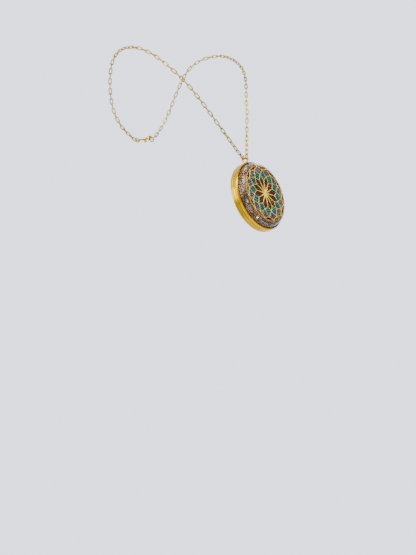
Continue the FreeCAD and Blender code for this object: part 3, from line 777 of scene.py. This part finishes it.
def build_curls():
    """Copper turnings: short springs of thin wire, each wound a little differently."""
    rng = random.Random(31)
    bm = bmesh.new()
    for place in chip_spots(1):
        for _ in range(2):
            radius = rng.uniform(0.55, 0.85)
            length = rng.uniform(1.2, 2.6)
            turns = rng.uniform(1.5, 2.6)
            phase = rng.uniform(0, 6.28)
            tilt = Matrix.Rotation(rng.uniform(-0.5, 0.5), 4, "X")
            shift = Matrix.Translation((rng.uniform(0.0, 0.25), 0,
                                        CHIP_FLOOR + radius + 0.3 + rng.uniform(0, 0.5)))
            points = []
            for step in range(int(turns * 16)):
                angle = phase + 2 * math.pi * step / 16
                along = length * (step / (turns * 16) - 0.5)
                point = Vector((radius * 0.8 * math.cos(angle), along, radius * math.sin(angle)))
                points.append(place @ shift @ tilt @ point)
            add_tube(bm, points, rng.uniform(0.2, 0.34), 8)
    new_piece("copper_turnings", finish_mesh("copper_turnings", bm, 60), "front_cover",
              COPPER, ["copper_curls"])


def build_flakes():
    """Crumpled scraps of gold leaf."""
    rng = random.Random(47)
    bm = bmesh.new()
    for place in chip_spots(3):
        for _ in range(5):
            size = rng.uniform(0.35, 0.9)
            shift = Matrix.Translation((rng.uniform(-0.5, 0.7), rng.uniform(-1.5, 1.5),
                                        rng.uniform(5.4, 7.3)))
            tilt = Matrix.Rotation(rng.uniform(0, 6.28), 4, Vector((
                rng.uniform(-1, 1), rng.uniform(-1, 1), rng.uniform(-1, 1))).normalized())
            rim = []
            for step in range(7):
                angle = 2 * math.pi * step / 7
                reach = size * rng.uniform(0.6, 1.0)
                rim.append(Vector((reach * math.cos(angle), reach * math.sin(angle),
                                   rng.uniform(-0.2, 0.2) * size)))
            for side in (-0.03, 0.03):
                up = Vector((0, 0, side))
                spots = [bm.verts.new(place @ shift @ tilt @ (p + up)) for p in rim]
                middle = bm.verts.new(place @ shift @ tilt @ up)
                for here, there in zip(spots, spots[1:] + spots[:1]):
                    bm.faces.new([here, there, middle])
                if side < 0:
                    under = spots
            for index in range(7):
                after = (index + 1) % 7
                bm.faces.new([under[index], under[after], spots[after], spots[index]])
    new_piece("leaf_scraps", finish_mesh("leaf_scraps", bm, 15), "front_cover",
              LEAF_GOLD, ["gold_flakes"])


build_core()
build_inlays()
build_filigree()
build_crystals("quartz_pieces", "quartz_chips", 0, 11, 2.3, QUARTZ)
build_crystals("amethyst_pieces", "amethyst_chips", 2, 23, 2.2, SMOKY)
build_curls()
build_flakes()


# ---------------------------------------------------------------- bail, hinge and inside

def build_bail():
    """The upright ring with a bead of solder where it meets the rim."""
    low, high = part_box("bail_ring")
    middle = (low + high) / 2
    wire = (high.x - low.x) / 2
    outer = (high.y - low.y) / 2
    centre = Vector((middle.x, middle.y, high.z - outer))
    radius = outer - wire
    bm = bmesh.new()
    steps = 64
    ring = [centre + Vector((0, radius * math.cos(a), radius * math.sin(a)))
            for a in (2 * math.pi * k / steps for k in range(steps))]
    rings = [wire_ring(bm, point, (point - centre).normalized(), Vector((1, 0, 0)), wire, 20)
             for point in ring]
    join_rings(bm, zip(rings, rings[1:] + rings[:1]))
    solder = Matrix.Translation(Vector((0, centre.y, CENTRE_Z + CASE_RADIUS * MM + 0.00005)))
    bmesh.ops.create_uvsphere(bm, u_segments=24, v_segments=12, radius=1.0,
                              matrix=solder @ Matrix.Diagonal((0.0006, 0.0010, 0.00028, 1)))
    new_piece("bail_eye", finish_mesh("bail_eye", bm, 60, stand=False), "locket",
              BAIL_GOLD, ["bail_ring"])


def dress_nodes():
    """Better materials on the CAD nodes that stay as they are."""
    for material, names in (
            (BAIL_GOLD, ("hinge_knuckles_back", "hinge_knuckle_front", "hinge_pin", "catch_nib",
                         "catch_spring", "photo_ring_back", "photo_ring_front")),
            (CHAIN_GOLD, ("clasp_body", "clasp_lever", "clasp_rivet", "clasp_jump_ring",
                          "tail_ring")),
            (STEEL, ("clasp_spring",)),
            (CARD, ("photo_card_back", "photo_card_front")),
            (LENS, ("photo_lens_back", "photo_lens_front"))):
        for name in names:
            mesh = NODES[name].data
            mesh.materials.clear()
            mesh.materials.append(material)


build_bail()
dress_nodes()


# ---------------------------------------------------------------- chain

LEFT_ROUTE = [
    (-0.00185, -0.0243, -0.0808), (-0.0095, -0.0244, -0.0690), (-0.0185, -0.0245, -0.0550),
    (-0.0265, -0.0245, -0.0428), (-0.0335, -0.0235, -0.0312), (-0.0395, -0.0200, -0.0200),
    (-0.0432, -0.0130, -0.0075), (-0.0453, -0.0040, 0.0008), (-0.0450, 0.0050, 0.0046),
    (-0.0420, 0.0145, 0.0060), (-0.0385, 0.0250, 0.0030), (-0.0340, 0.0360, -0.0090),
    (-0.0280, 0.0440, -0.0220), (-0.0170, 0.0485, -0.0340), (-0.0040, 0.0503, -0.0405),
]
RIGHT_ROUTE = [
    (0.00185, -0.0243, -0.0808), (0.0085, -0.0244, -0.0680), (0.0160, -0.0245, -0.0540),
    (0.0225, -0.0245, -0.0400), (0.0290, -0.0240, -0.0280), (0.0365, -0.0205, -0.0175),
    (0.0420, -0.0135, -0.0075), (0.0450, -0.0040, 0.0008), (0.0450, 0.0050, 0.0046),
    (0.0420, 0.0145, 0.0060), (0.0385, 0.0250, 0.0030), (0.0340, 0.0360, -0.0090),
    (0.0280, 0.0440, -0.0220), (0.0175, 0.0485, -0.0340), (0.0070, 0.0500, -0.0400),
]
LEFT_LINKS = 56
RIGHT_LINKS = 55
LINK_PITCH = 0.0034
LINK_WIRE = 0.00033
LINK_HALF = 0.00208
LINK_SIDE = 0.00082
TWISTED_LINKS = 8
TWIST_PER_LINK = -6.0
HALVINGS = 30


def route_points(name, points):
    """The smooth line that these control points steer, as closely spaced points."""
    curve = bpy.data.curves.new(name, "CURVE")
    curve.dimensions = "3D"
    curve.resolution_u = 48
    spline = curve.splines.new("NURBS")
    spline.points.add(len(points) - 1)
    for slot, point in zip(spline.points, points):
        slot.co = (*point, 1)
    spline.order_u = 3
    spline.use_endpoint_u = True
    holder = bpy.data.objects.new(name, curve)
    line = bpy.data.meshes.new_from_object(holder)
    found = [v.co.copy() for v in line.vertices]
    bpy.data.meshes.remove(line)
    bpy.data.objects.remove(holder)
    bpy.data.curves.remove(curve)
    return found


def pivots(line, pitch):
    """Points along a line, one pitch apart in a straight line."""
    found = [line[0]]
    for here, there in zip(line, line[1:]):
        if (there - found[-1]).length < pitch:
            continue
        low, high = 0.0, 1.0
        for _ in range(HALVINGS):
            middle = (low + high) / 2
            if (here.lerp(there, middle) - found[-1]).length < pitch:
                low = middle
            else:
                high = middle
        found.append(here.lerp(there, high))
    return found


def add_link(bm, place):
    """One elongated link: two straight bars and two half rounds."""
    straight = LINK_HALF - LINK_SIDE
    steps = 12
    rings = []
    for end in (1, -1):
        middle = Vector((end * straight, 0, 0))
        for step in range(steps + 1):
            angle = math.pi * (step / steps - 0.5)
            point = Vector((end * (straight + LINK_SIDE * math.cos(angle)),
                            end * LINK_SIDE * math.sin(angle), 0))
            rings.append(wire_ring(bm, point, (point - middle).normalized(),
                                   Vector((0, 0, 1)), LINK_WIRE, 14, place))
    join_rings(bm, zip(rings, rings[1:] + rings[:1]))


def link_place(start, end, across):
    """Where a link lies between two pivots, its width along a direction."""
    along = (end - start).normalized()
    up = along.cross(across).normalized()
    side = up.cross(along)
    turn = Matrix((along, side, up)).transposed().to_4x4()
    return Matrix.Translation((start + end) / 2) @ turn


def build_strand(side, points, count):
    """One side's links, each a quarter turn on from the last."""
    line = route_points("route_" + side, points)
    spots = pivots(line, LINK_PITCH)[:count + 1]
    across = Vector((0, 0, 1))
    bm = bmesh.new()
    for index, (start, end) in enumerate(zip(spots, spots[1:])):
        if 0 < index <= TWISTED_LINKS:
            across = Matrix.Rotation(math.radians(TWIST_PER_LINK), 3, end - start) @ across
        add_link(bm, link_place(start, end, across))
        across = (end - start).cross(across).normalized()
    name = "chain_" + side
    mesh = finish_mesh(name, bm, 60, stand=False)
    strand = new_piece(name, mesh, "chain", CHAIN_GOLD,
                       [f"chain_{side}_front", f"chain_{side}_back"])


def build_apex():
    """The middle link, which the bail hangs on."""
    low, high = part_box("apex_link")
    bm = bmesh.new()
    add_link(bm, Matrix.Translation((low + high) / 2))
    return new_piece("middle_link", finish_mesh("middle_link", bm, 60, stand=False), "chain",
                     CHAIN_GOLD, ["apex_link"])


middle_link = build_apex()
build_strand("left", LEFT_ROUTE, LEFT_LINKS)
build_strand("right", RIGHT_ROUTE, RIGHT_LINKS)


# ---------------------------------------------------------------- floor and light

FLOOR_DROP = 0.4
FLOOR_RADIUS = 0.45
SHADED_SIDE = (0.785, -0.612, 0.094)
SHADED_FADE = (0.78, 0.96)
BACKDROP_SIDE = (0.785, 0.612, 0.094)
BACKDROP_FADE = (-0.3, 0.75)
WORLD_BRIGHT = 2.4
WORLD_DIM = 1.0
WORLD_SHADED = 0.06


def build_floor():
    """A plain pale floor, far enough below to stay out of the picture."""
    height = CAD_BOX[0][2] - FLOOR_DROP
    bm = bmesh.new()
    bmesh.ops.create_circle(bm, cap_ends=True, segments=96, radius=FLOOR_RADIUS,
                            matrix=Matrix.Translation((0, 0, height)))
    mesh = bpy.data.meshes.new("floor")
    bm.to_mesh(mesh)
    bm.free()
    floor = bpy.data.objects.new("floor", mesh)
    n = Nodes("floor_paint")
    n.set(Base_Color=(0.86, 0.87, 0.88), Roughness=0.9)
    mesh.materials.append(n.material)
    bpy.context.scene.collection.objects.link(floor)


def build_world():
    """A pale studio, shaded on the side that the flat top of the dome mirrors."""
    world = bpy.data.worlds.new("studio")
    world.use_nodes = True
    nodes = world.node_tree.nodes
    links = world.node_tree.links
    place = nodes.new("ShaderNodeTexCoord")

    def facing(side, fade, low, high):
        """A value that goes from low to high as the view turns to face a side."""
        toward = nodes.new("ShaderNodeVectorMath")
        toward.operation = "DOT_PRODUCT"
        links.new(place.outputs["Generated"], toward.inputs[0])
        toward.inputs[1].default_value = side
        change = nodes.new("ShaderNodeMapRange")
        change.interpolation_type = "SMOOTHSTEP"
        links.new(toward.outputs["Value"], change.inputs["Value"])
        for key, value in zip(("From Min", "From Max", "To Min", "To Max"), (*fade, low, high)):
            change.inputs[key].default_value = value
        return change.outputs["Result"]

    product = nodes.new("ShaderNodeMath")
    product.operation = "MULTIPLY"
    links.new(facing(SHADED_SIDE, SHADED_FADE, 1.0, WORLD_SHADED), product.inputs[0])
    links.new(facing(BACKDROP_SIDE, BACKDROP_FADE, WORLD_DIM, WORLD_BRIGHT), product.inputs[1])
    background = nodes["Background"]
    background.inputs["Color"].default_value = (0.82, 0.87, 1.0, 1)
    links.new(product.outputs[0], background.inputs["Strength"])
    bpy.context.scene.world = world


def add_lamp(name, offset, size, power, colour=(1, 1, 1)):
    """A soft box aimed at the locket."""
    data = bpy.data.lights.new(name, "AREA")
    data.shape = "RECTANGLE"
    data.size, data.size_y = size
    data.energy = power
    data.color = colour
    lamp = bpy.data.objects.new(name, data)
    spot = CASE_CENTRE + Vector(offset)
    lamp.matrix_world = (Matrix.Translation(spot)
                         @ (CASE_CENTRE - spot).to_track_quat("-Z", "Y").to_matrix().to_4x4())
    bpy.context.scene.collection.objects.link(lamp)


build_floor()
build_world()
add_lamp("key", (-0.25, -0.55, 0.65), (0.45, 0.35), 10.5, (1.0, 0.98, 0.95))
add_lamp("shoulder", (-0.46, 0.01, 0.48), (0.4, 0.3), 1.6, (0.88, 0.86, 1.0))
add_lamp("fill", (-0.75, -0.1, -0.35), (0.4, 0.4), 2.5)
add_lamp("rim", (-0.6, 0.35, 0.3), (0.3, 0.4), 3.0)
